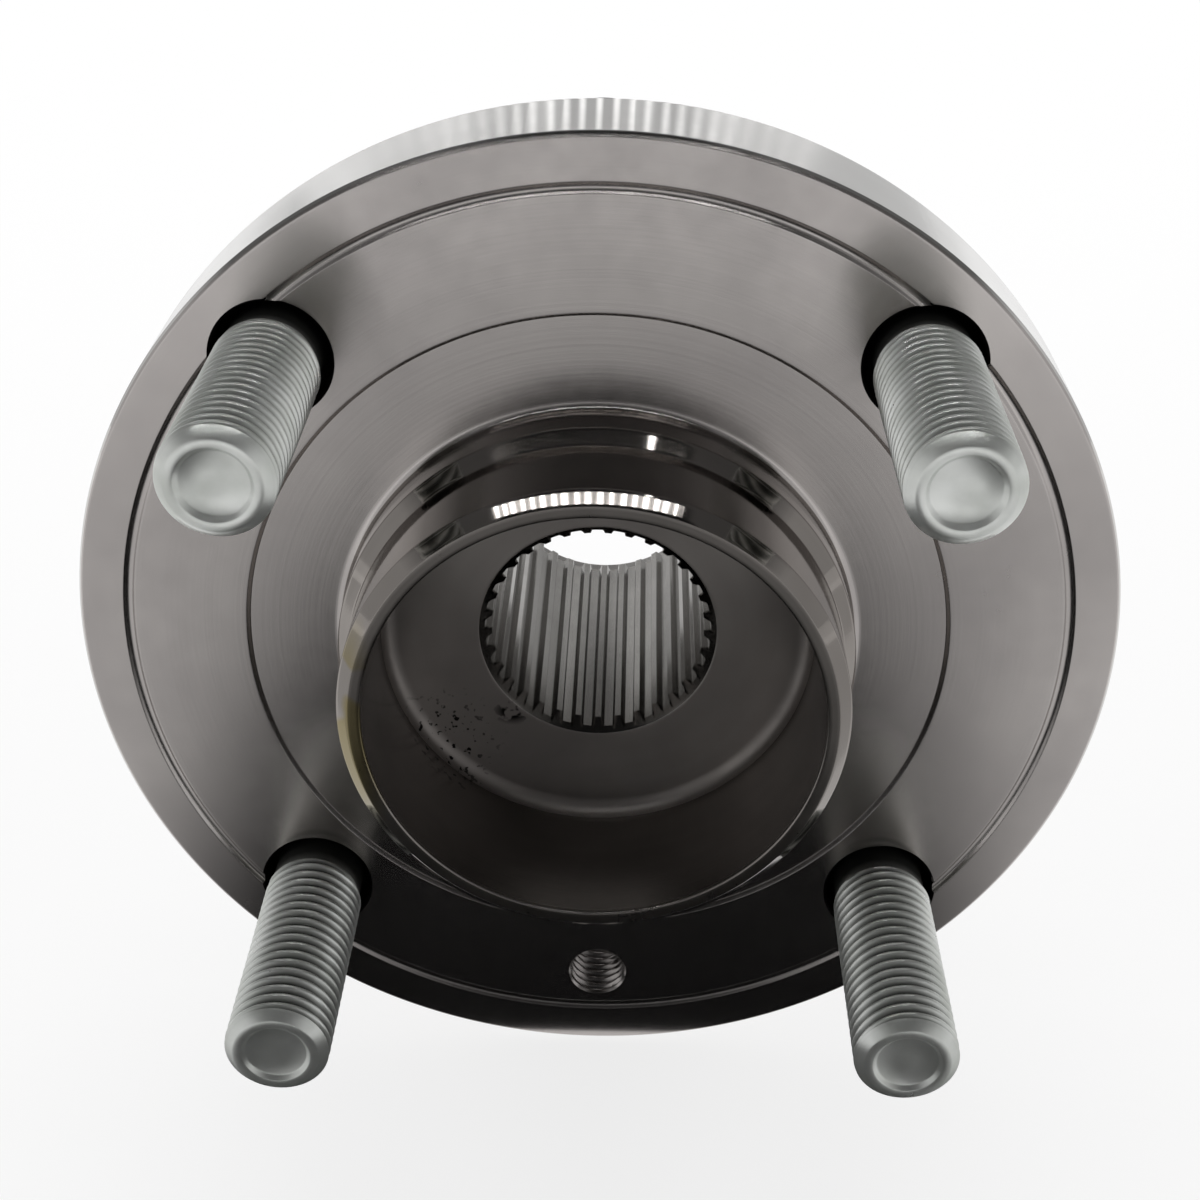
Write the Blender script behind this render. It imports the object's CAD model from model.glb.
# %% [markdown]
# Wheel hub bearing, looks.
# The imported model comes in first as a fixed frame: it holds every solid where the source put it.
# All pieces but the cages and balls are then made again as smooth surfaces, and each one rides on
# the body that carries its solid, so that it turns when the bearing turns.
# The hub's axis is Y, the wheel side looks along -Y and +Z is up. Blender works in metres, and the
# sizes here are millimetres because a workshop drawing has them so; MM turns one into the other.

import math

import bpy
import numpy as np
from mathutils import Matrix


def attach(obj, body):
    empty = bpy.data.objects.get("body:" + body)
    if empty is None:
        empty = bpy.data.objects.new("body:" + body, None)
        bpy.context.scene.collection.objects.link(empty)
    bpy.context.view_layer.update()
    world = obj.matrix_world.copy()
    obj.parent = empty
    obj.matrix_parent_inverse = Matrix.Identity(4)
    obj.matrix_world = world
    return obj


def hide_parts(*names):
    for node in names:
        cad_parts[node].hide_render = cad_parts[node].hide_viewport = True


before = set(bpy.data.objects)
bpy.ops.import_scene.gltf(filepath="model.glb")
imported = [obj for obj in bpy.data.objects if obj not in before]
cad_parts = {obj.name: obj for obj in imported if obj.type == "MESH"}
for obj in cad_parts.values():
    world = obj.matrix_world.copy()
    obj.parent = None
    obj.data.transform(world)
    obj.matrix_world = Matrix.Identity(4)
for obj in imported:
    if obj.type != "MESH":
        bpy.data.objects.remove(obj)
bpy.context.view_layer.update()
MM = 0.001

# %% [markdown]
# These are the sizes that the looks share with the solids. A radius is measured from the hub's axis.
# A station is measured along the axis from the wheel face, and is negative on the wheel's side. The
# near seal closes the bearing on the wheel's side, and the far seal on the knuckle's side.

# %% sizes in millimetres
FLANGE, FLANGE_BACK, CHAMFER = 60.5, 13.6, 0.5
GROOVE_START, GROOVE_END, GROOVE_DEPTH, GROOVE_FLANK = 54.0, 55.3, 0.32, 0.4
FACE_RECESS, RECESS_DEPTH = 40.65, 0.5
WHEEL_PILOT, PILOT_END, PILOT_CHAMFER = 28.25, -17.8, 1.4
DISC_PILOT, DISC_PILOT_END = 29.75, -4.5
NUT_RECESS, NUT_SEAT = 25.44, 2.6
TEETH, TOOTH_TIP, TOOTH_ROOT, SPLINE_ENTRY, SPLINE_END = 33, 12.6, 13.4, 14.1, 43.312
BORE_RELIEF, FLARE_START, BORE_FLARE = 14.8, 47.412, 18.2
SPINDLE, LOW_LAND, HIGH_LAND, FORMED_LIP, HUB_END = 19.0, 24.024, 26.324, 24.0, 53.012
INNER_START, INNER_END = 32.106, 49.512
BALL_PITCH, RACE_RADIUS, OUTBOARD_ROW, INBOARD_ROW = 28.5, 5.676, 25.606, 38.606
STUD_CIRCLE, STUD_HOLE, STUD_SHANK, STUD_TIP, STUD_PITCH = 50.0, 6.7, 5.5, -31.3, 1.5
SCREW_CIRCLE, SCREW_DRILL, SCREW_MAJOR, SCREW_PITCH = 49.1, 3.4, 4.0, 1.25
OUTER_RING, OUTER_START, OUTER_END, OUTER_LAND, SEAL_SEAT = 38.5, 15.6, 49.012, 30.876, 33.576
EARS_START, EARS_END, COLLAR = 25.5, 35.5, 40.0
BOLT_CIRCLE, BOLT_DRILL, BOLT_MAJOR, BOLT_PITCH, EAR_END, EAR_HOLLOW = 46.0, 5.25, 6.0, 1.5, 9.0, 10.0
CASE_SHEET, CASE_INNER, CASE_LEG, NEAR_SEAL, FAR_SEAL = 0.8, 32.776, 29.376, 18.4, 45.812
SLINGER_SHEET, SLINGER_SLEEVE, SLINGER_RIM, ENCODER = 0.7, 27.024, 32.276, 0.9
print("flange", 2 * FLANGE, "mm across, from the stud tips to the lip", HUB_END - STUD_TIP, "mm")

# %% [markdown]
# Every turned piece starts as a section: the outline that the lathe tool follows, as pairs of
# radius and station. No machined edge is perfectly sharp. A small arc at each corner catches a thin
# line of light, and that line is what makes steel look cut and not drawn. Blender's Bevel could add
# those arcs later, but then their size could not differ from corner to corner, so they are worked
# out in the section itself.

# %% a section with rounded corners
ARC_STEPS = 5
EDGE_GUARD = 0.3


def rounded_section(corners):
    """Closed outline of a section, as points of radius and station.

    Each corner is radius, station and the radius of its arc. The arc starts arc * tan(turn / 2) away
    from the corner on both edges. A rational quadratic curve draws it exactly: the corner's weight is
    cos(turn / 2). One more point on each side keeps the flat surfaces beside the arc flat in shading.
    """
    table = np.array(corners, float)
    point, arc = table[:, :2], table[:, 2]
    back = np.roll(point, 1, axis=0) - point
    ahead = np.roll(point, -1, axis=0) - point
    back_length = np.linalg.norm(back, axis=1)
    ahead_length = np.linalg.norm(ahead, axis=1)
    back /= back_length[:, None]
    ahead /= ahead_length[:, None]
    turn = np.pi - np.arccos(np.clip((back * ahead).sum(axis=1), -1, 1))
    room = 0.48 * np.minimum(back_length, ahead_length)
    trim = np.minimum(arc * np.tan(turn / 2), room)
    guard = np.where(arc > 0, np.minimum(trim + EDGE_GUARD, 1.02 * room), 0)
    t = np.linspace(0, 1, ARC_STEPS)[None, :, None]
    weight = np.cos(turn / 2)[:, None, None]
    start = (point + back * trim[:, None])[:, None, :]
    end = (point + ahead * trim[:, None])[:, None, :]
    middle = point[:, None, :]
    over = (1 - t) ** 2 * start + 2 * t * (1 - t) * weight * middle + t**2 * end
    under = (1 - t) ** 2 + 2 * t * (1 - t) * weight + t**2
    before = (point + back * guard[:, None])[:, None, :]
    after = (point + ahead * guard[:, None])[:, None, :]
    outline = np.concatenate([before, over / under, after], axis=1).reshape(-1, 2)
    step = np.linalg.norm(outline - np.roll(outline, 1, axis=0), axis=1)
    return outline[step > 1e-4]


square = [(1, 0, 0.2), (9, 0, 0.2), (9, 8, 0.2), (1, 8, 0.2)]
print("a square with 0.2 mm arcs has", len(rounded_section(square)), "points")

# %% [markdown]
# A turned piece is a grid: one direction goes along the section and the other round the axis. A
# lathe tool makes the same surface at every angle, but a spline, a thread or a bolt ear changes the
# radius with the angle. So the grid takes a whole array of radii, one for each row and column, and
# the same function serves for a plain ring and for a screw thread.

# %% grids round the hub's axis
def grid_object(name, radius, station, angle, centre=(0.0, 0.0), closed_section=True):
    """Mesh of points x = radius cos(angle), z = radius sin(angle), y = station, all in millimetres.

    radius is an array of rows by columns, station of rows, angle of columns. The columns close round
    the axis. The rows close too for a ring; otherwise each end is closed by one point on the axis.
    """
    rows, columns = radius.shape
    station = np.broadcast_to(np.reshape(station, (rows, -1)), radius.shape)
    x = centre[0] + radius * np.cos(angle)
    z = centre[1] + radius * np.sin(angle)
    points = np.stack([x, station, z], axis=-1).reshape(-1, 3)
    index = np.arange(rows * columns).reshape(rows, columns)
    low = index if closed_section else index[:-1]
    high = np.roll(index, -1, axis=0) if closed_section else index[1:]
    quads = np.stack([low, np.roll(low, -1, axis=1), np.roll(high, -1, axis=1), high], axis=-1)
    faces = quads.reshape(-1, 4).tolist()
    if not closed_section:
        poles = np.array([[centre[0], station[0, 0], centre[1]], [centre[0], station[-1, 0], centre[1]]])
        first, last = rows * columns, rows * columns + 1
        points = np.concatenate([points, poles])
        ring = np.roll(index[0], -1)
        faces += np.stack([ring, index[0], np.full(columns, first)], axis=-1).tolist()
        ring = np.roll(index[-1], -1)
        faces += np.stack([index[-1], ring, np.full(columns, last)], axis=-1).tolist()
    mesh = bpy.data.meshes.new(name)
    mesh.from_pydata((points * MM).tolist(), [], faces)
    piece = new_object(name, mesh)
    if signed_volume(mesh) < 0:
        mesh.flip_normals()
    return piece


def new_object(name, data):
    """An object in the scene for a mesh, a lamp or a camera."""
    made = bpy.data.objects.new(name, data)
    bpy.context.scene.collection.objects.link(made)
    return made


def signed_volume(mesh):
    """Sum of the volumes between the origin and each triangle; negative if the faces look inwards."""
    mesh.calc_loop_triangles()
    corner = np.zeros(len(mesh.loop_triangles) * 3, np.int32)
    mesh.loop_triangles.foreach_get("vertices", corner)
    place = np.zeros(len(mesh.vertices) * 3)
    mesh.vertices.foreach_get("co", place)
    a, b, c = place.reshape(-1, 3)[corner.reshape(-1, 3)].transpose(1, 0, 2)
    return float((a * np.cross(b, c)).sum() / 6)


def even_angles(columns):
    return np.arange(columns) * 2 * np.pi / columns


def finish_shape(piece, sharp_degrees=32):
    """Smooth shading, but a crisp edge wherever two faces meet at more than the given angle."""
    mesh = piece.data
    mesh.shade_smooth()
    mesh.set_sharp_from_angle(angle=math.radians(sharp_degrees))
    print(f"{piece.name}: {len(mesh.polygons)} faces, {signed_volume(mesh) * 1e6:.2f} cm3")
    return piece


def turned_ring(name, corners, columns=256):
    """A plain turned ring: the rounded section at every angle."""
    section = rounded_section(corners)
    angle = even_angles(columns)
    radius = np.repeat(section[:, :1], columns, axis=1)
    return grid_object(name, radius, section[:, 1], angle)


# %% [markdown]
# The hub is one forging, turned on a lathe and then broached: a long toothed tool is pulled through
# the bore and leaves 33 straight teeth that drive the wheel. The section below runs from the bore
# over the pilot, across the wheel face, round the rim and back along the neck and spindle to the
# lip that is rolled over the inner ring.

# %% the hub's section
def race_arc(row, from_degrees, to_degrees, steps=13):
    """Points on a raceway's circle, as corners without an arc of their own.

    A point is pitch + race * cos(turn) from the axis and row + race * sin(turn) along it.
    """
    turn = np.radians(np.linspace(from_degrees, to_degrees, steps))
    radius = BALL_PITCH + RACE_RADIUS * np.cos(turn)
    station = row + RACE_RADIUS * np.sin(turn)
    return np.stack([radius, station, np.zeros(steps)], axis=-1).tolist()


def race_angle(radius):
    """Angle on the raceway's circle where it meets a land of the given radius, in degrees."""
    return math.degrees(math.acos((radius - BALL_PITCH) / RACE_RADIUS))


hub_corners = [
    (SPLINE_ENTRY, NUT_SEAT, 0.2),
    (NUT_RECESS, NUT_SEAT, 1.6),
    (NUT_RECESS, PILOT_END, 0.25),
    (WHEEL_PILOT - PILOT_CHAMFER, PILOT_END, 0.25),
    (WHEEL_PILOT, PILOT_END + PILOT_CHAMFER, 0.3),
    (WHEEL_PILOT, DISC_PILOT_END + WHEEL_PILOT - DISC_PILOT, 0.2),
    (DISC_PILOT, DISC_PILOT_END, 0.3),
    (DISC_PILOT, RECESS_DEPTH, 0.8),
    (FACE_RECESS, RECESS_DEPTH, 0.1),
    (FACE_RECESS, RECESS_DEPTH - 0.18, 0.05),
    (FACE_RECESS + 0.35, 0.0, 0.1),
    (GROOVE_START, 0.0, 0.15),
    (GROOVE_START + GROOVE_FLANK, GROOVE_DEPTH, 0.6),
    (GROOVE_END - GROOVE_FLANK, GROOVE_DEPTH, 0.6),
    (GROOVE_END, 0.0, 0.15),
    (FLANGE - CHAMFER, 0.0, 0.2),
    (FLANGE, CHAMFER, 0.2),
    (FLANGE, FLANGE_BACK - CHAMFER, 0.2),
    (FLANGE - CHAMFER, FLANGE_BACK, 0.2),
    (HIGH_LAND, FLANGE_BACK, 2.0),
    *race_arc(OUTBOARD_ROW, -race_angle(HIGH_LAND), race_angle(LOW_LAND) - 360),
    (LOW_LAND, INNER_START, 0.3),
    (SPINDLE, INNER_START, 0.0),
    (SPINDLE, INNER_END, 0.0),
    (FORMED_LIP, INNER_END, 0.1),
    (FORMED_LIP, HUB_END, 1.6),
    (BORE_FLARE, HUB_END, 0.3),
    (BORE_RELIEF, FLARE_START, 0.3),
    (BORE_RELIEF, SPLINE_END, 0.1),
    (TOOTH_TIP, SPLINE_END, 0.1),
    *[(radius, NUT_SEAT + SPLINE_ENTRY - radius, 0.0) for radius in (TOOTH_TIP, 13.0, TOOTH_ROOT)],
]
hub_section = rounded_section(hub_corners)
print("hub section:", len(hub_section), "points, out to a radius of", hub_section[:, 0].max(), "mm")

# %% [markdown]
# The teeth need columns exactly at their corners, or their edges would look ragged. So the columns
# are not evenly spaced: the same twelve angles repeat for each of the 33 teeth. Between two teeth
# the broach cuts down to 13.4 mm, and on top of a tooth the bore stays at 12.6 mm. Each grid point
# in the bore takes the larger of the lathe's radius and the broach's radius.

# %% the hub with its broached teeth
tooth_period = 2 * np.pi / TEETH
half_offsets = np.array([0.0205, 0.0375, 0.0435, 0.0610, 0.0668])
half_radii = np.array([TOOTH_ROOT, TOOTH_ROOT, 13.30, 12.68, TOOTH_TIP])
tooth_offsets = np.concatenate([-half_offsets[::-1], [0], half_offsets, [tooth_period / 2]])
tooth_radii = np.concatenate([half_radii[::-1], [TOOTH_ROOT], half_radii, [TOOTH_TIP]])
gap_centres = np.pi / 2 + np.arange(TEETH) * tooth_period
hub_angles = (gap_centres[:, None] + tooth_offsets[None, :]).reshape(-1)
broached = np.tile(tooth_radii, TEETH)
in_bore = (hub_section[:, 0] < SPLINE_ENTRY + 0.1) & (hub_section[:, 1] > NUT_SEAT - 0.1)
in_bore &= hub_section[:, 1] < SPLINE_END + 0.008
hub_radius = np.repeat(hub_section[:, :1], len(hub_angles), axis=1)
hub_radius = np.where(in_bore[:, None], np.maximum(hub_radius, broached[None, :]), hub_radius)
hub = grid_object("hub_looks", hub_radius, hub_section[:, 1], hub_angles)
print("hub grid:", hub_radius.shape, "volume", round(signed_volume(hub.data) * 1e6, 2), "cm3")

# %% [markdown]
# A screw thread is a ramp that climbs round a cylinder. Seen as a grid, each point's height is only
# a matter of where it stands on the ramp: station divided by the pitch, plus one turn's worth of
# angle. A metric thread has flanks of 60 degrees with narrow flats on the crests and wider ones in
# the roots, so a clipped triangle wave gives its section.

# %% the thread
def thread_height(station, angle, pitch, first_root=0.0):
    """0 in the root and 1 on the crest of a right-hand metric thread.

    The phase is (station - first root) / pitch + angle / (2 pi). The crest is about an eighth of the
    pitch wide and the root about a quarter; the flanks are a little rounded at both ends.
    """
    crest, root = 0.13, 0.77
    phase = (station - first_root) / pitch + angle / (2 * np.pi)
    away = 2 * np.abs(phase - np.floor(phase) - 0.5)
    flank = np.clip((root - away) / (root - crest), 0, 1)
    return flank * flank * (3 - 2 * flank) * 0.35 + flank * 0.65


def ease(value, start, end):
    """0 before start, 1 after end and a smooth step between: t * t * (3 - 2 t)."""
    t = np.clip((value - start) / (end - start), 0, 1)
    return t * t * (3 - 2 * t)


# %% [markdown]
# The four stud holes and the tapped hole for the brake disc's screw are drilled after turning. A
# grid can't change its number of columns half way, so these holes are cut with a Boolean modifier,
# and each cutter is a numpy grid too: a drill with a countersink at each end, and for the tapped
# holes a tap with the thread on it.

# %% drills and taps
def drill(name, centre, radius, start, end, countersink, columns=61):
    """Solid of a hole: radius between start and end, and a 45 degree cone that opens at both faces.

    The odd number of columns keeps its edges off the hub's own, which the Boolean needs.
    """
    over = 1.5
    corner_radius = [radius + countersink + over, radius, radius, radius + countersink + over]
    corner_station = [start - over, start + countersink, end - countersink, end + over]
    section = np.array(corner_radius)
    return grid_object(name, np.repeat(section[:, None], columns, axis=1), np.array(corner_station),
                       even_angles(columns), centre, closed_section=False)


def tap(name, centre, minor, major, pitch, start, end, columns=48, rows_per_turn=10):
    """Solid of a tapped hole: the drill's radius plus the thread's height times its depth.

    The thread fades in over the first millimetre. Each mouth is broken by a short cone, and the
    larger of the two radii wins.
    """
    over = 1.0
    rows = int((end - start + 2 * over) / pitch * rows_per_turn)
    station = np.linspace(start - over, end + over, rows)
    angle = even_angles(columns)
    inside = ease(np.minimum(station - start, end - station), 0.2, 1.2)
    height = thread_height(station[:, None], angle[None, :], pitch) * inside[:, None]
    cone = minor + 0.3 + np.maximum(start - station, station - end)
    radius = np.maximum(minor + (major - minor) * height, cone[:, None])
    return grid_object(name, radius, station, angle, centre, closed_section=False)


def cut(piece, cutters):
    """Subtract the cutters from the piece for good, and remove them."""
    for cutter in cutters:
        modifier = piece.modifiers.new(cutter.name, "BOOLEAN")
        modifier.operation = "DIFFERENCE"
        modifier.solver = "EXACT"
        modifier.object = cutter
    bpy.context.view_layer.update()
    evaluated = piece.evaluated_get(bpy.context.evaluated_depsgraph_get())
    mesh = bpy.data.meshes.new_from_object(evaluated)
    piece.modifiers.clear()
    piece.data = mesh
    for cutter in cutters:
        bpy.data.objects.remove(cutter)
    edges = np.zeros(len(mesh.loops), np.int32)
    mesh.loops.foreach_get("edge_index", edges)
    print(piece.name, "edges not shared by two faces:", int((np.bincount(edges) != 2).sum()))


stud_angles = np.radians([45, 135, 225, 315])
stud_centres = np.stack([STUD_CIRCLE * np.cos(stud_angles), STUD_CIRCLE * np.sin(stud_angles)], axis=-1)
drills = [drill(f"stud_drill_{i}", centre, STUD_HOLE, 0.0, FLANGE_BACK, 0.25)
          for i, centre in enumerate(stud_centres, start=1)]
screw_centre = (0.0, -SCREW_CIRCLE)
drills.append(tap("screw_tap", screw_centre, SCREW_DRILL, SCREW_MAJOR, SCREW_PITCH, 0.0, FLANGE_BACK))
cut(hub, drills)
finish_shape(hub)

# %% [markdown]
# A wheel stud is cold formed and its thread is rolled between two dies, so the thread stands a
# little above the plain shank. The dies leave a shallow dish in the tip. The thread fades out over
# one turn at each end, as a rolled thread does.

# %% wheel studs
THREAD_START, THREAD_END = -30.15, -1.6
THREAD_ROOT, THREAD_DEPTH = 5.15, 0.8


def wheel_stud(name, centre):
    """One stud: tip, thread, shank, grip and head, from the tip's middle to the head's middle.

    The tip's stations count from the tip, and the head's from the back of the flange.
    """
    tip = np.array([(1.2, 0.5), (3.35, 0.5), (3.55, 0.38), (3.85, 0.05), (3.95, 0.0), (4.75, 0.0),
                    (4.95, 0.1), (5.9, 1.05)]) + [0, STUD_TIP]
    thread_station = np.linspace(THREAD_START, THREAD_END, 267)
    threaded = np.stack([np.full(thread_station.size, STUD_SHANK), thread_station], axis=-1)
    shank = np.array([(STUD_SHANK, -1.4), (STUD_SHANK, 3.2), (STUD_HOLE, 4.4)])
    head = np.array([(STUD_HOLE, -0.1), (STUD_HOLE, 0.0), (8.6, 0.0), (8.8, 0.2), (8.8, 0.5), (8.8, 3.9),
                     (8.8, 4.2), (8.7, 4.4), (8.1, 4.95), (7.9, 5.0), (7.5, 5.0), (2.0, 5.0)])
    section = np.concatenate([tip, threaded, shank, head + [0, FLANGE_BACK]])
    station = section[:, 1]
    angle = even_angles(60)
    height = thread_height(station[:, None], angle[None, :], STUD_PITCH, first_root=STUD_TIP - STUD_PITCH)
    rolled = THREAD_ROOT + THREAD_DEPTH * height
    strength = ease(station, -31.0, -29.6) * (1 - ease(station, -3.1, -2.0))
    is_thread = np.zeros(len(section), bool)
    is_thread[len(tip):len(tip) + thread_station.size] = True
    radius = np.repeat(section[:, :1], angle.size, axis=1)
    blank = np.where(station < -20, 5.9, STUD_SHANK)[:, None]
    radius = np.where(is_thread[:, None], blank + (rolled - blank) * strength[:, None], radius)
    piece = grid_object(name, radius, station, angle, centre, closed_section=False)
    return finish_shape(piece, 50)


studs = [wheel_stud(f"stud_looks_{i}", centre) for i, centre in enumerate(stud_centres, start=1)]

# %% [markdown]
# The outer ring stays still: it is bolted to the knuckle by four ears. Its flange is not round, so
# the radius of the flange's rows changes with the angle. Going round from an ear's middle, the
# outline is first the ear's round end, then a hollow arc that runs into the collar, then the collar.

# %% outline of the bolt ears
def ear_outline(angle):
    """Radius of the knuckle flange at an angle, for four ears 90 degrees apart.

    A ray at the angle meets a circle of radius R about a centre d from the axis at
    d cos(a) + sqrt(R^2 - d^2 sin(a)^2), with a measured from the centre; the far root is the ear's
    end and the near root is the hollow arc. The two arcs touch, and the hollow touches the collar.
    """
    hollow_circle = COLLAR + EAR_HOLLOW
    apart = EAR_END + EAR_HOLLOW
    turn = math.acos((hollow_circle**2 + BOLT_CIRCLE**2 - apart**2) / (2 * hollow_circle * BOLT_CIRCLE))
    a = np.abs((angle + np.pi / 4) % (np.pi / 2) - np.pi / 4)
    end = BOLT_CIRCLE * np.cos(a) + np.sqrt(np.maximum(EAR_END**2 - (BOLT_CIRCLE * np.sin(a)) ** 2, 0))
    b = turn - a
    reach = np.sqrt(np.maximum(EAR_HOLLOW**2 - (hollow_circle * np.sin(b)) ** 2, 0))
    blend = hollow_circle * np.cos(b) - reach
    ear_centre = np.array([BOLT_CIRCLE, 0.0])
    hollow_centre = hollow_circle * np.array([math.cos(turn), math.sin(turn)])
    joint = ear_centre + (hollow_centre - ear_centre) * EAR_END / apart
    joint_angle = math.atan2(joint[1], joint[0])
    return np.where(a < joint_angle, end, np.where(a < turn, blend, COLLAR))


ring_angles = even_angles(720)
ear_radius = ear_outline(ring_angles)
print("ear outline: radius", ear_radius.min().round(2), "to", ear_radius.max().round(2))

# %% the outer ring
FLANGE_ROWS = 41.0
seat_angle = race_angle(SEAL_SEAT)
land_angle = race_angle(OUTER_LAND)
outer_corners = [
    (SEAL_SEAT, OUTER_START, 0.15),
    (OUTER_RING - 0.8, OUTER_START, 0.2),
    (OUTER_RING, OUTER_START + 0.8, 0.2),
    (OUTER_RING, EARS_START - 1.5, 0.4),
    (COLLAR, EARS_START, 0.0),
    (FLANGE_ROWS - 0.4, EARS_START, 0.0),
    (FLANGE_ROWS, EARS_START + 0.4, 0.0),
    (FLANGE_ROWS, EARS_END - 1.0, 0.0),
    (FLANGE_ROWS - 0.1, EARS_END - 0.6, 0.0),
    (FLANGE_ROWS - 0.25, EARS_END - 0.3, 0.0),
    (FLANGE_ROWS - 0.45, EARS_END, 0.0),
    (OUTER_RING, EARS_END, 0.3),
    (OUTER_RING, OUTER_END - 0.8, 0.2),
    (OUTER_RING - 0.8, OUTER_END, 0.2),
    (SEAL_SEAT, OUTER_END, 0.15),
    *race_arc(INBOARD_ROW, seat_angle, -land_angle),
    *race_arc(OUTBOARD_ROW, land_angle, -seat_angle),
]
outer_section = rounded_section(outer_corners)
station = outer_section[:, 1]
flange_row = (outer_section[:, 0] > COLLAR + 0.5) & (station > EARS_START - 0.1) & (station < EARS_END + 0.1)
outer_radius = np.repeat(outer_section[:, :1], ring_angles.size, axis=1)
shift = (outer_section[:, 0] - FLANGE_ROWS)[:, None]
outer_radius = np.where(flange_row[:, None], ear_radius[None, :] + shift, outer_radius)
outer_ring = grid_object("outer_ring_looks", outer_radius, station, ring_angles)
bolt_centres = BOLT_CIRCLE * np.array([(1, 0), (0, 1), (-1, 0), (0, -1)])
taps = [tap(f"bolt_tap_{i}", centre, BOLT_DRILL, BOLT_MAJOR, BOLT_PITCH, EARS_START, EARS_END)
        for i, centre in enumerate(bolt_centres, start=1)]
cut(outer_ring, taps)
finish_shape(outer_ring)

# %% [markdown]
# The remaining rings can be seen only from the knuckle side or through the gap beside the flange:
# the inner ring that the formed lip clamps, the pressed steel cases of the seals, the slinger and
# the magnetised ring on it that a wheel speed sensor reads, and the rubber lips.

# %% inner ring, seals and encoder ring
inner_ring = turned_ring("inner_ring_looks", [
    (SPINDLE, INNER_START, 0.0),
    (LOW_LAND - 0.8, INNER_START, 0.1),
    (LOW_LAND, INNER_START + 0.8, 0.1),
    *race_arc(INBOARD_ROW, -race_angle(LOW_LAND), race_angle(HIGH_LAND) - 360),
    (HIGH_LAND, INNER_END - 0.8, 0.15),
    (HIGH_LAND - 0.8, INNER_END, 0.15),
    (SPINDLE, INNER_END, 0.0),
])
outboard_case = turned_ring("outboard_seal_case_looks", [
    (CASE_LEG, NEAR_SEAL - CASE_SHEET, 0.15), (CASE_INNER, NEAR_SEAL - CASE_SHEET, 0.3),
    (CASE_INNER, OUTER_START, 0.1), (SEAL_SEAT, OUTER_START, 0.3), (SEAL_SEAT, NEAR_SEAL, 0.5),
    (CASE_LEG, NEAR_SEAL, 0.15),
])
inboard_case = turned_ring("inboard_seal_case_looks", [
    (CASE_LEG, FAR_SEAL, 0.15), (SEAL_SEAT, FAR_SEAL, 0.5), (SEAL_SEAT, OUTER_END, 0.3),
    (CASE_INNER, OUTER_END, 0.1), (CASE_INNER, FAR_SEAL + CASE_SHEET, 0.3),
    (CASE_LEG, FAR_SEAL + CASE_SHEET, 0.15),
])
slinger = turned_ring("slinger_looks", [
    (HIGH_LAND, FAR_SEAL, 0.1), (SLINGER_SLEEVE, FAR_SEAL, 0.1),
    (SLINGER_SLEEVE, OUTER_END - SLINGER_SHEET, 0.3), (SLINGER_RIM, OUTER_END - SLINGER_SHEET, 0.15),
    (SLINGER_RIM, OUTER_END, 0.15), (HIGH_LAND, OUTER_END, 0.5),
])
encoder_ring = turned_ring("encoder_ring_looks", [
    (SLINGER_SLEEVE, OUTER_END, 0.05), (SLINGER_RIM, OUTER_END, 0.05),
    (SLINGER_RIM, OUTER_END + ENCODER, 0.25), (SLINGER_SLEEVE, OUTER_END + ENCODER, 0.25),
], 360)

# %% [markdown]
# Each rubber lip is a soft hook that reaches from the case's leg to the steel it wipes. The outboard
# one has a second, longer hook that leans against the back of the flange, to keep the road's dirt out.

# %% rubber lips
outboard_lip = turned_ring("outboard_seal_lip_looks", [
    (CASE_LEG, NEAR_SEAL, 0.1), (CASE_LEG, NEAR_SEAL - CASE_SHEET, 0.0), (30.576, 17.6, 0.1),
    (32.176, 13.75, 0.1), (31.576, 13.75, 0.1), (29.976, 17.0, 0.2), (28.776, 17.0, 0.2),
    (26.474, 16.2, 0.1), (26.474, 16.8, 0.1), (28.776, 18.2, 0.1), (26.474, 18.4, 0.1),
])
inboard_lip = turned_ring("inboard_seal_lip_looks", [
    (CASE_LEG, FAR_SEAL, 0.0), (27.174, 45.812, 0.1), (28.776, 46.312, 0.1), (27.174, 46.912, 0.1),
    (27.174, 47.512, 0.1), (29.976, 47.212, 0.1), (31.076, 48.162, 0.1), (31.676, 48.162, 0.1),
    (30.576, 46.612, 0.1), (CASE_LEG, FAR_SEAL + CASE_SHEET, 0.0),
])
for ring in (inner_ring, outboard_case, inboard_case, slinger, encoder_ring, outboard_lip, inboard_lip):
    finish_shape(ring)

# %% [markdown]
# Materials. A colour that a person reads off a screen is sRGB, and the shader wants linear light,
# so one function turns hex values over. One more function adds a node with its settings and links.

# %% helpers for materials
def colour(hex_value):
    """sRGB hex to linear: c / 12.92 below 0.04045, else ((c + 0.055) / 1.055) ^ 2.4."""
    parts = np.array([int(hex_value[i:i + 2], 16) for i in (1, 3, 5)]) / 255
    linear = np.where(parts <= 0.04045, parts / 12.92, ((parts + 0.055) / 1.055) ** 2.4)
    return (*linear.tolist(), 1.0)


def add(tree, kind, inputs=None, **settings):
    """Add one shader node: settings are its own properties, inputs are values or sockets to link."""
    node = tree.nodes.new("ShaderNode" + kind)
    for name, setting in settings.items():
        setattr(node, name, setting)
    for name, given in (inputs or {}).items():
        if isinstance(given, bpy.types.NodeSocket):
            tree.links.new(given, node.inputs[name])
        else:
            node.inputs[name].default_value = given
    return node


def new_material(name, base, metallic, roughness):
    """A material with its shader and output; returns it with its tree and the shader node."""
    material = bpy.data.materials.new(name)
    material.use_nodes = True
    material.diffuse_color = colour(base)
    tree = material.node_tree
    shader = tree.nodes["Principled BSDF"]
    shader.inputs["Base Color"].default_value = colour(base)
    shader.inputs["Metallic"].default_value = metallic
    shader.inputs["Roughness"].default_value = roughness
    return material, tree, shader


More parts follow.
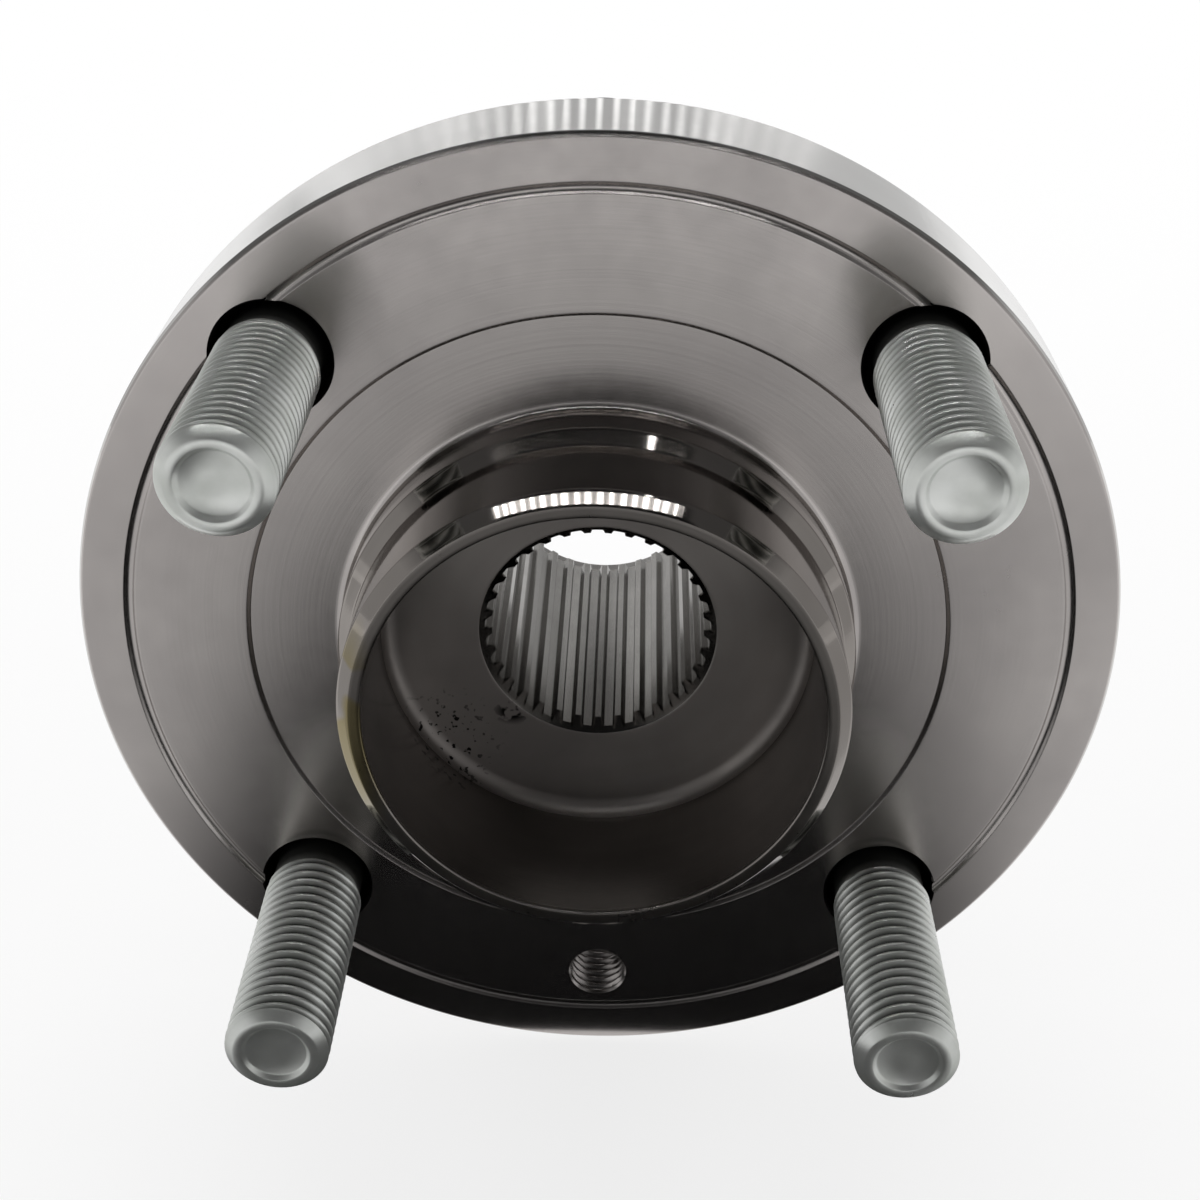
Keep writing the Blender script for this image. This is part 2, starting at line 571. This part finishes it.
def lathe_place(tree):
    """Sockets of a point's distance from the hub's axis and of its station, in metres."""
    here = add(tree, "TexCoord").outputs["Object"]
    flat = add(tree, "VectorMath", {0: here, 1: (1, 0, 1)}, operation="MULTIPLY").outputs[0]
    radius = add(tree, "VectorMath", {0: flat}, operation="LENGTH").outputs["Value"]
    station = add(tree, "SeparateXYZ", {0: here}).outputs["Y"]
    return here, radius, station


def tool_marks(tree, radius, station, spacing_mm):
    """Noise that changes only along the tool's path, so every mark is a ring round the axis."""
    path = add(tree, "CombineXYZ", {"X": radius, "Y": station}).outputs[0]
    inputs = {"Vector": path, "Scale": 1000 / spacing_mm, "Detail": 2.0, "Roughness": 0.6}
    return add(tree, "TexNoise", inputs, noise_dimensions="2D").outputs["Fac"]


def spread(tree, value, low, high, out_low=0.0, out_high=1.0):
    """Stretch the values from low to high over out_low to out_high."""
    inputs = {"Value": value, "From Min": low, "From Max": high, "To Min": out_low, "To Max": out_high}
    return add(tree, "MapRange", inputs).outputs["Result"]


def blend_colours(tree, amount, first, second):
    """Mix two colours; sockets 6, 7 and 2 are the ones that a mix node has for colours."""
    return add(tree, "Mix", {"Factor": amount, 6: first, 7: second}, data_type="RGBA").outputs[2]


# %% [markdown]
# Turned steel. The tool leaves rings a fraction of a millimetre apart. They scatter light across
# themselves, so a highlight on the face stretches into a spoke. The shader's anisotropy gives that:
# its tangent runs round the Y axis with the marks, and a quarter turn of rotation stretches the
# gloss across them. A film of oil and the marks of hands change the gloss in large soft patches.
# The pilots that centre the wheel and the disc are ground after turning, so they are almost a mirror
# and show their surroundings dark and clear.

# %% turned steel
def turned_steel(name, base, dark, roughness, marks_mm=0.35, depth_mm=0.004, anisotropy=0.5):
    """Lathe-turned steel with ring marks, soft patches of oil and an anisotropic gloss."""
    material, tree, shader = new_material(name, base, 1.0, roughness)
    here, radius, station = lathe_place(tree)
    marks = tool_marks(tree, radius, station, marks_mm)
    broad = tool_marks(tree, radius, station, marks_mm * 9)
    inputs = {"Vector": here, "Scale": 38.0, "Detail": 3.0, "Roughness": 0.55}
    film = add(tree, "TexNoise", inputs).outputs["Fac"]
    mottle = add(tree, "TexNoise", {"Vector": here, "Scale": 420.0, "Detail": 3.0}).outputs["Fac"]
    tone = blend_colours(tree, spread(tree, film, 0.35, 0.68), colour(base), colour(dark))
    tone = blend_colours(tree, spread(tree, broad, 0.3, 0.7, 0.0, 0.22), tone, colour(dark))
    tree.links.new(tone, shader.inputs["Base Color"])
    oiled = spread(tree, film, 0.3, 0.7, roughness * 0.9, roughness * 1.1)
    mottled = spread(tree, mottle, 0.3, 0.7, -0.07 * roughness, 0.07 * roughness)
    gloss = add(tree, "Math", {0: oiled, 1: mottled}, operation="ADD").outputs[0]
    tree.links.new(gloss, shader.inputs["Roughness"])
    bump = add(tree, "Bump", {"Height": marks, "Strength": 1.0, "Distance": depth_mm * MM})
    tree.links.new(bump.outputs[0], shader.inputs["Normal"])
    shader.inputs["Anisotropic"].default_value = anisotropy
    shader.inputs["Anisotropic Rotation"].default_value = 0.25
    tangent = add(tree, "Tangent", direction_type="RADIAL", axis="Y")
    tree.links.new(tangent.outputs[0], shader.inputs["Tangent"])
    return material


face_steel = turned_steel("turned_steel_face", "#c1bcb9", "#b3aeac", 0.24, anisotropy=0.7)
rim_steel = turned_steel("turned_steel_rim", "#dad9d7", "#cfcdcb", 0.085, 0.2, 0.0004, 1.0)
cavity_steel = turned_steel("turned_steel_cavity", "#a39e9a", "#85807d", 0.46, anisotropy=0.4)
wall_steel = turned_steel("turned_steel_cavity_wall", "#85807d", "#6c6865", 0.22, anisotropy=0.6)
edge_steel = turned_steel("turned_steel_pilot_edge", "#908b87", "#7f7b77", 0.3, 0.2, 0.002, 0.6)
ground_steel = turned_steel("ground_steel_pilot", "#938e8a", "#827d79", 0.07, 0.12, 0.0003, 0.3)
ring_steel = turned_steel("turned_bearing_steel", "#a7a5a2", "#8b8886", 0.34)
print("steels:", [material.name for material in bpy.data.materials if "steel" in material.name])

# %% [markdown]
# The part was handled and shipped in oil. Black specks of swarf and dried oil lie in the hollow
# corner of the nut recess, and the pilot's edge has a straw-coloured film on one side. Each mark has
# its own place, so a soft ellipsoid round that place is multiplied with a noise that breaks it up.

# %% specks and a stain
def ellipsoid_distance(tree, here, centre, reach):
    """Length of (place - centre) / reach: 0 in the middle of an ellipsoid and 1 on its surface."""
    shifted = add(tree, "VectorMath", {0: here, 1: centre}, operation="SUBTRACT").outputs[0]
    scaled = add(tree, "VectorMath", {0: shifted, 1: reach}, operation="DIVIDE").outputs[0]
    return add(tree, "VectorMath", {0: scaled}, operation="LENGTH").outputs["Value"]


def near(tree, here, centre_mm, reach_mm):
    """1 in the middle of an ellipsoid and 0 outside it."""
    centre = tuple(value * MM for value in centre_mm)
    reach = tuple(value * MM for value in reach_mm)
    return spread(tree, ellipsoid_distance(tree, here, centre, reach), 1.0, 0.45)


def lay_over(material, centre_mm, reach_mm, grain_mm, cover, hex_value):
    """Blend a colour into the material's base colour near a place, broken up by noise.

    cover is the noise value above which the mark starts, so a higher one leaves fewer specks.
    """
    tree = material.node_tree
    target = tree.nodes["Principled BSDF"].inputs["Base Color"]
    here = add(tree, "TexCoord").outputs["Object"]
    inputs = {"Vector": here, "Scale": 1000 / grain_mm, "Detail": 2.0}
    broken = spread(tree, add(tree, "TexNoise", inputs).outputs["Fac"], cover, cover + 0.05)
    inside = near(tree, here, centre_mm, reach_mm)
    amount = add(tree, "Math", {0: inside, 1: broken}, operation="MULTIPLY").outputs[0]
    tree.links.new(blend_colours(tree, amount, target.links[0].from_socket, colour(hex_value)), target)


for steel in (cavity_steel, wall_steel):
    lay_over(steel, (-18.5, 1.5, -15.5), (8.0, 5.0, 9.0), 0.9, 0.60, "#090808")
lay_over(cavity_steel, (-10.3, 2.6, -11.0), (2.6, 2.0, 2.0), 1.6, 0.55, "#0b0a0a")
for steel in (edge_steel, ground_steel):
    lay_over(steel, (-27.3, -17.2, -3.0), (5.0, 2.5, 20.0), 9.0, 0.36, "#877d5f")
print("marks on", cavity_steel.name, wall_steel.name, edge_steel.name, ground_steel.name)

# %% [markdown]
# The teeth are scraped by the broach along the bore, and the forging's own skin stays on the ears.
# Oil creeps out of the stud holes and darkens their walls, which draws a black ring round each stud.

# %% broached and forged steel
broached_steel = turned_steel("broached_steel_spline", "#92908d", "#7b7976", 0.2, 0.5, 0.001, 0.0)
forged_steel = turned_steel("forged_steel_scale", "#6d6a68", "#4f4d4c", 0.55, 1.2, 0.004, 0.0)
oiled_steel = turned_steel("oiled_steel_stud_hole", "#252221", "#171514", 0.5, 0.3, 0.001, 0.0)

# %% [markdown]
# Zinc. The studs are plated, and the zinc is sealed with a thin pale film. The film scatters a part
# of the light before the metal can reflect it, so the studs are a little less than fully metallic.
# Oil and dust stay in the roots of the thread, the crests are rubbed bright, and the heads behind the
# flange have gone dull. The foot of each stud is dark with oil from its hole. So colour and gloss
# follow the station and the distance from the stud's own axis. The four studs stand at the corners
# of a square, and the absolute values of x and z fold them onto one.

# %% zinc plated studs
zinc, tree, shader = new_material("zinc_plated_steel", "#cdcfcb", 0.82, 0.3)
here = add(tree, "TexCoord").outputs["Object"]
cloud = add(tree, "TexNoise", {"Vector": here, "Scale": 160.0, "Detail": 4.0}).outputs["Fac"]
grain = add(tree, "TexNoise", {"Vector": here, "Scale": 1800.0, "Detail": 2.0}).outputs["Fac"]
folded = add(tree, "VectorMath", {0: here}, operation="ABSOLUTE").outputs[0]
corner = STUD_CIRCLE * MM / math.sqrt(2)
folded = add(tree, "VectorMath", {0: folded, 1: (corner, 0, corner)}, operation="SUBTRACT").outputs[0]
folded = add(tree, "VectorMath", {0: folded, 1: (1, 0, 1)}, operation="MULTIPLY").outputs[0]
from_axis = add(tree, "VectorMath", {0: folded}, operation="LENGTH").outputs["Value"]
along = add(tree, "SeparateXYZ", {0: here}).outputs["Y"]
after_tip = spread(tree, along, -30.6 * MM, -29.9 * MM)
before_head = spread(tree, along, 2.0 * MM, -2.0 * MM)
in_thread = add(tree, "Math", {0: after_tip, 1: before_head}, operation="MULTIPLY").outputs[0]
in_root = spread(tree, from_axis, 5.75 * MM, 5.25 * MM)
dull = add(tree, "Math", {0: in_root, 1: in_thread}, operation="MULTIPLY").outputs[0]
fresh = blend_colours(tree, spread(tree, cloud, 0.35, 0.65), colour("#e4e6e3"), colour("#cdd0cb"))
pressed = blend_colours(tree, before_head, colour("#9da09c"), fresh)
rolled = blend_colours(tree, dull, pressed, colour("#555754"))
near_face = spread(tree, along, -3.4 * MM, -0.8 * MM, 0.0, 0.85)
in_hole = spread(tree, along, 13.4 * MM, 12.0 * MM)
oily = add(tree, "Math", {0: near_face, 1: in_hole}, operation="MULTIPLY").outputs[0]
tree.links.new(blend_colours(tree, oily, rolled, colour("#242220")), shader.inputs["Base Color"])
rubbed = spread(tree, cloud, 0.3, 0.7, 0.27, 0.37)
dusty = spread(tree, dull, 0.0, 1.0, 0.0, 0.12)
gloss = add(tree, "Math", {0: dusty, 1: rubbed}, operation="ADD").outputs[0]
tree.links.new(gloss, shader.inputs["Roughness"])
bump = add(tree, "Bump", {"Height": grain, "Strength": 0.4, "Distance": 0.004 * MM})
tree.links.new(bump.outputs[0], shader.inputs["Normal"])
print("zinc follows a stud's own axis,", round(corner / MM, 2), "mm from the middle both ways")

# %% [markdown]
# Rubber, nylon and pressed sheet steel are on the pieces that close the bearing. The moulded ones
# have a fine grain of two tones. It also roughens the rubber and the nylon, and changes the gloss of
# the magnetised rubber.

# %% rubber, magnetised rubber and nylon
def moulded(name, base, second, roughness, scale, detail):
    """A moulded material of two tones; returns it with its tree, its shader and its grain."""
    material, tree, shader = new_material(name, base, 0.0, roughness)
    here = add(tree, "TexCoord").outputs["Object"]
    grain = add(tree, "TexNoise", {"Vector": here, "Scale": scale, "Detail": detail}).outputs["Fac"]
    tone = blend_colours(tree, spread(tree, grain, 0.3, 0.7), colour(base), colour(second))
    tree.links.new(tone, shader.inputs["Base Color"])
    return material, tree, shader, grain


rubber, tree, shader, grain = moulded("moulded_nitrile_rubber", "#1b1b1c", "#262627", 0.55, 2500.0, 3.0)
bump = add(tree, "Bump", {"Height": grain, "Strength": 0.5, "Distance": 0.01 * MM})
tree.links.new(bump.outputs[0], shader.inputs["Normal"])
nylon, tree, shader, grain = moulded("glass_filled_nylon", "#d9cfb4", "#c3b797", 0.45, 900.0, 5.0)
bump = add(tree, "Bump", {"Height": grain, "Strength": 0.3, "Distance": 0.02 * MM})
tree.links.new(bump.outputs[0], shader.inputs["Normal"])
encoder_rubber, tree, shader, grain = moulded("magnetised_rubber", "#2b2827", "#3a3634", 0.6, 3500.0, 4.0)
tree.links.new(spread(tree, grain, 0.3, 0.7, 0.5, 0.68), shader.inputs["Roughness"])
print("moulded:", rubber.name, nylon.name, encoder_rubber.name)

# %% pressed sheet steel of the seal cases, and polished balls
sheet_steel = turned_steel("pressed_sheet_steel", "#a5a5a5", "#8f8f90", 0.3, 2.0, 0.002, 0.0)
ball_steel = turned_steel("polished_ball_steel", "#cfcfd0", "#c4c4c6", 0.07, 3.0, 0.0002, 0.0)

# %% [markdown]
# Now each zone of the hub and the outer ring gets its own finish. The zones follow from where a
# face lies: its distance from the axis and its station say which cut made it.

# %% finishes by zone
def face_middles(piece):
    """Middle of each face, its distance from the hub's axis and its station, in millimetres."""
    middle = np.zeros(len(piece.data.polygons) * 3)
    piece.data.polygons.foreach_get("center", middle)
    middle = middle.reshape(-1, 3) / MM
    return middle, np.hypot(middle[:, 0], middle[:, 2]), middle[:, 1]


def within(value, low, high):
    return (value > low) & (value < high)


def paint_zones(piece, finish, zones):
    """Give the piece its finish and each zone its own; where two zones overlap, the later one wins."""
    number = np.zeros(len(piece.data.polygons), np.int32)
    piece.data.materials.clear()
    piece.data.materials.append(finish)
    for i, (material, faces) in enumerate(zones, start=1):
        piece.data.materials.append(material)
        number[faces] = i
    piece.data.polygons.foreach_set("material_index", number)
    piece.data.update()
    print(piece.name, "faces of each finish:", np.bincount(number).tolist())


middle, radius, station = face_middles(hub)
from_stud = np.abs(middle) - STUD_CIRCLE / math.sqrt(2)
from_stud = np.hypot(from_stud[:, 0], from_stud[:, 2])
edge_radius = WHEEL_PILOT - PILOT_CHAMFER + 0.05
wall_radius = NUT_RECESS + 0.16
wall_end = 0.9
on_pilot = within(radius, edge_radius, DISC_PILOT + 0.45) & (station < 0.2)
in_cavity = (radius < wall_radius) & within(station, wall_end, NUT_SEAT + 1.4)
in_spline = (radius < SPLINE_ENTRY + 0.05) & within(station, NUT_SEAT + 0.1, SPLINE_END + 0.088)
behind = (station > FLANGE_BACK + 0.2) | ((station > FLANGE_BACK - 0.3) & (radius < FLANGE - CHAMFER))
on_rim = (radius > FLANGE - 0.2) & (station < FLANGE_BACK - 0.3)
on_edge = within(radius, NUT_RECESS - 0.14, edge_radius) & (station < PILOT_END + 1.5)
on_wall = (radius < wall_radius) & within(station, PILOT_END + 0.2, wall_end)
in_stud_hole = (from_stud < STUD_HOLE + 0.02) & within(station, 0.4, FLANGE_BACK - 0.3)
in_stud_hole |= (from_stud < STUD_HOLE + 0.26) & within(station, 0.06, 0.2)
paint_zones(hub, face_steel, [
    (ring_steel, behind), (wall_steel, on_wall), (edge_steel, on_edge), (rim_steel, on_rim),
    (ground_steel, on_pilot), (cavity_steel, in_cavity), (broached_steel, in_spline),
    (oiled_steel, in_stud_hole)])

middle, radius, station = face_middles(outer_ring)
on_ears = within(station, EARS_START - 1.2, EARS_END - 0.2) & (radius > OUTER_RING + 0.1)
on_body = within(station, OUTER_START + 1.9, EARS_START + 0.1) & (radius > OUTER_RING - 0.2)
paint_zones(outer_ring, ring_steel, [(forged_steel, on_ears | on_body)])

# %% [markdown]
# Each piece now takes its place in the model: which body it turns with, which solid it stands for,
# and which slot of the record its finish comes from.

# %% bodies, nodes and slots
dressed = [
    (hub, "hub", "wheel_hub", "hub_steel", None),
    (inner_ring, "hub", "inner_ring", "ring_steel", ring_steel),
    (slinger, "hub", "slinger", "seal_steel", sheet_steel),
    (encoder_ring, "hub", "encoder_ring", "encoder_rubber", encoder_rubber),
    (outer_ring, "outer_ring", "outer_ring", "ring_steel", None),
    (outboard_case, "outer_ring", "outboard_seal_case", "seal_steel", sheet_steel),
    (outboard_lip, "outer_ring", "outboard_seal_lip", "seal_rubber", rubber),
    (inboard_case, "outer_ring", "inboard_seal_case", "seal_steel", sheet_steel),
    (inboard_lip, "outer_ring", "inboard_seal_lip", "seal_rubber", rubber),
]
dressed += [(stud, "hub", f"wheel_stud_{i}", "stud_zinc", zinc) for i, stud in enumerate(studs, start=1)]
for piece, body, node, slot, material in dressed:
    if material is not None:
        piece.data.materials.clear()
        piece.data.materials.append(material)
    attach(piece, body)
    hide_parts(node)

for name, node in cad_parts.items():
    if "cage" in name or "ball" in name:
        node.data.materials.clear()
        node.data.materials.append(nylon if "cage" in name else ball_steel)
        node.data.shade_smooth()
        node.data.set_sharp_from_angle(angle=math.radians(40))
print("dressed:", len(dressed), "pieces; cages and balls keep their solids")

# %% [markdown]
# The camera stands where the photographer's stood. It looks down at the wheel face from a little
# above, 29 degrees from the hub's axis.

# %% camera
camera = new_object("camera", bpy.data.cameras.new("camera"))
camera.data.sensor_width = 36
camera.data.lens = 57.47
camera.data.clip_start = 0.01
camera.data.clip_end = 20
right = np.array([0.99974, 0.0230, 0.0])
up = np.array([-0.01123, 0.4881, 0.8727])
back = np.cross(right, up)
turn = Matrix(np.stack([right, up, back], axis=-1).tolist()).to_4x4()
camera.matrix_world = Matrix.Translation((4.77 * MM, -192.88 * MM, 113.93 * MM)) @ turn
bpy.context.scene.camera = camera
print("camera", round(camera.matrix_world.translation.length / MM, 1), "mm from the wheel face")

# %% [markdown]
# The object stands on its rim on a plain white floor. The floor's paper also glows for the camera
# and in reflections, and a little more with distance, so it stays white to its far edge.

# %% floor
def flat_sheet(name, low, high):
    """One flat face between two opposite corners."""
    mesh = bpy.data.meshes.new(name)
    corners = [low, (high[0], low[1], low[2]), high, (low[0], high[1], high[2])]
    mesh.from_pydata(corners, [], [(0, 1, 2, 3)])
    return new_object(name, mesh)


level = -60.6 * MM
floor = flat_sheet("floor", (-3.0, -3.0, level), (3.0, 3.0, level))
paper, tree, shader = new_material("white_paper_floor", "#f4f4f4", 0.0, 0.8)
here = add(tree, "TexCoord").outputs["Object"]
rays = add(tree, "LightPath").outputs
seen = add(tree, "Math", {0: rays["Is Camera Ray"], 1: rays["Is Glossy Ray"]}, operation="MAXIMUM")
seen = add(tree, "Math", {0: seen.outputs[0], 1: rays["Is Transmission Ray"]}, operation="MAXIMUM")
away = add(tree, "VectorMath", {0: here}, operation="LENGTH").outputs["Value"]
more = spread(tree, away, 0.25, 0.6, 0.0, 0.2)
far = add(tree, "Math", {0: rays["Is Camera Ray"], 1: more}, operation="MULTIPLY").outputs[0]
amount = add(tree, "Math", {0: seen.outputs[0], 1: 0.8, 2: far}, operation="MULTIPLY_ADD")
white = add(tree, "Emission", {"Color": (1, 1, 1, 1), "Strength": 1.0})
mix = add(tree, "MixShader", {0: amount.outputs[0], 1: shader.outputs[0], 2: white.outputs[0]})
tree.links.new(mix.outputs[0], tree.nodes["Material Output"].inputs["Surface"])
floor.data.materials.append(paper)

# %% [markdown]
# Four soft panels light the floor, the rubber and the dull steel. Reflections don't show them,
# because they would clip to white on the bright steel, which takes its light from the cards below.

# %% lamps
def soft_panel(name, place, width, height, power):
    """A rectangular lamp at a place, turned so that it faces the origin."""
    lamp = bpy.data.lights.new(name, "AREA")
    lamp.shape = "RECTANGLE"
    lamp.size, lamp.size_y, lamp.energy = width, height, power
    panel = new_object(name, lamp)
    forward = np.array(place) / np.linalg.norm(place)
    side = np.cross((0.0, 0.0, 1.0), forward)
    side /= np.linalg.norm(side)
    axes = Matrix(np.stack([side, np.cross(forward, side), forward], axis=-1).tolist())
    panel.matrix_world = Matrix.Translation(place) @ axes.to_4x4()
    panel.visible_glossy = False


soft_panel("top_panel", (0.0, 0.40, 0.75), 0.9, 0.6, 5.0)
soft_panel("back_panel", (0.0, 0.95, 0.30), 1.4, 0.5, 4.0)
soft_panel("left_panel", (-0.75, -0.15, 0.25), 0.7, 0.6, 2.5)
soft_panel("right_panel", (0.75, -0.15, 0.25), 0.7, 0.6, 2.0)
print("lamps:", [lamp.name for lamp in bpy.data.lights])

# %% [markdown]
# Steel is a mirror with a soft surface, so what makes it look right is what stands round it. In the
# light tent these are the paper in front, which the camera and the part itself keep in the dark
# near the part, and two rows of small lamps. The rim shows the row behind as streaks, and the row
# above draws the thin lines on the threads and on the pilot's edge. Cards stand for them, and only
# reflections show them.

# %% cards that only the steel reflects
def reflection_card(name, low, high, strength_of, large):
    """A flat card that only reflections show; strength_of builds its strength from its place.

    Mirror rays find a large card by themselves, and a small one is also looked for as a lamp.
    """
    card = flat_sheet(name, low, high)
    for kind in ("camera", "diffuse", "transmission", "shadow"):
        setattr(card, "visible_" + kind, False)
    material = bpy.data.materials.new(name)
    material.use_nodes = True
    tree = material.node_tree
    tree.nodes.clear()
    here = add(tree, "TexCoord").outputs["Object"]
    glow = add(tree, "Emission", {"Color": (1, 1, 1, 1), "Strength": strength_of(tree, here)})
    add(tree, "OutputMaterial", {"Surface": glow.outputs[0]})
    material.cycles.emission_sampling = "NONE" if large else "AUTO"
    card.data.materials.append(material)


def paper_level(tree, here):
    """Dark inside an ellipse 110 mm wide and 350 mm long, pale outside it and paler far away."""
    away = ellipsoid_distance(tree, here, (-0.004, -0.060, -0.060), (0.055, 0.175, 1.0))
    inputs = {"Value": away, "From Min": 0.74, "From Max": 1.45, "To Min": 0.008, "To Max": 1.0}
    share = add(tree, "MapRange", inputs, interpolation_type="SMOOTHSTEP").outputs["Result"]
    along = add(tree, "SeparateXYZ", {0: here}).outputs["Y"]
    paleness = spread(tree, along, -0.18, -0.40, 0.70, 1.0)
    return add(tree, "Math", {0: share, 1: paleness}, operation="MULTIPLY").outputs[0]


def bars(tree, here, period_mm, width, low, high):
    """Bright bars along x on a lower ground: a sine wave of the period, cut off below its width."""
    across = add(tree, "SeparateXYZ", {0: here}).outputs["X"]
    per_metre = 2000 * math.pi / period_mm
    turn = add(tree, "Math", {0: across, 1: per_metre}, operation="MULTIPLY").outputs[0]
    wave = add(tree, "Math", {0: turn}, operation="SINE").outputs[0]
    return spread(tree, wave, 1 - width, 1.0, low, high)


def back_lamps(tree, here):
    """Bars 8.6 mm apart, some of them brighter, on a pale ground."""
    even = bars(tree, here, 8.6, 1.0, 0.52, 1.5)
    brighter = bars(tree, here, 47.0, 1.0, 0.0, 0.15)
    return add(tree, "Math", {0: even, 1: brighter}, operation="ADD").outputs[0]


def front_lamps(tree, here):
    """A row of small lamps 21 mm apart."""
    return bars(tree, here, 21.0, 0.9, 1.5, 24.0)


def spot_level(tree, here):
    """One small bright lamp, brightest in its middle."""
    return spread(tree, near(tree, here, (92, -127, 300), (8, 8, 8)), 0.0, 1.0, 2.0, 30.0)


low = -60.0 * MM
reflection_card("front_card", (-0.6, -0.9, low), (0.6, -0.001, low), paper_level, large=True)
reflection_card("back_lamp_row", (-0.14, 0.3, -0.02), (0.104, 0.3, 0.147), back_lamps, large=True)
reflection_card("front_lamp_row", (-0.215, -0.162, 0.3), (0.17, -0.148, 0.3), front_lamps, large=False)
reflection_card("spot_lamp", (0.087, -0.132, 0.3), (0.097, -0.122, 0.3), spot_level, large=False)

# %% [markdown]
# The world is the tent's cloth: pale low down, dark above and straight in front of the wheel face,
# and darkest where the camera looks in. The camera itself sees plain white there.

# %% world
world = bpy.data.worlds.new("world")
world.use_nodes = True
tree = world.node_tree
way = add(tree, "TexCoord").outputs["Generated"]
to_lens = (0, -0.616, 0.788)
opening = add(tree, "VectorMath", {0: way, 1: to_lens}, operation="DOT_PRODUCT").outputs["Value"]
opening = spread(tree, opening, 0.74, 0.866)
height = add(tree, "SeparateXYZ", {0: way}).outputs["Z"]
height = spread(tree, height, 0.30, 0.48, 0.0, 0.82)
ahead = add(tree, "SeparateXYZ", {0: way}).outputs["Y"]
ahead = spread(tree, ahead, -0.75, -0.95, 0.0, 0.8)
darkness = add(tree, "Math", {0: opening, 1: height}, operation="MAXIMUM").outputs[0]
darkness = add(tree, "Math", {0: darkness, 1: ahead}, operation="MAXIMUM").outputs[0]
level = spread(tree, darkness, 0.0, 1.0, 0.6, 0.02)
seen = add(tree, "LightPath").outputs["Is Camera Ray"]
level = add(tree, "Mix", {"Factor": seen, "A": level, "B": 1.0}).outputs["Result"]
tree.links.new(level, tree.nodes["Background"].inputs["Strength"])
tree.nodes["Background"].inputs["Color"].default_value = (1, 1, 1, 1)
bpy.context.scene.world = world
bpy.context.scene.view_settings.view_transform = "Standard"
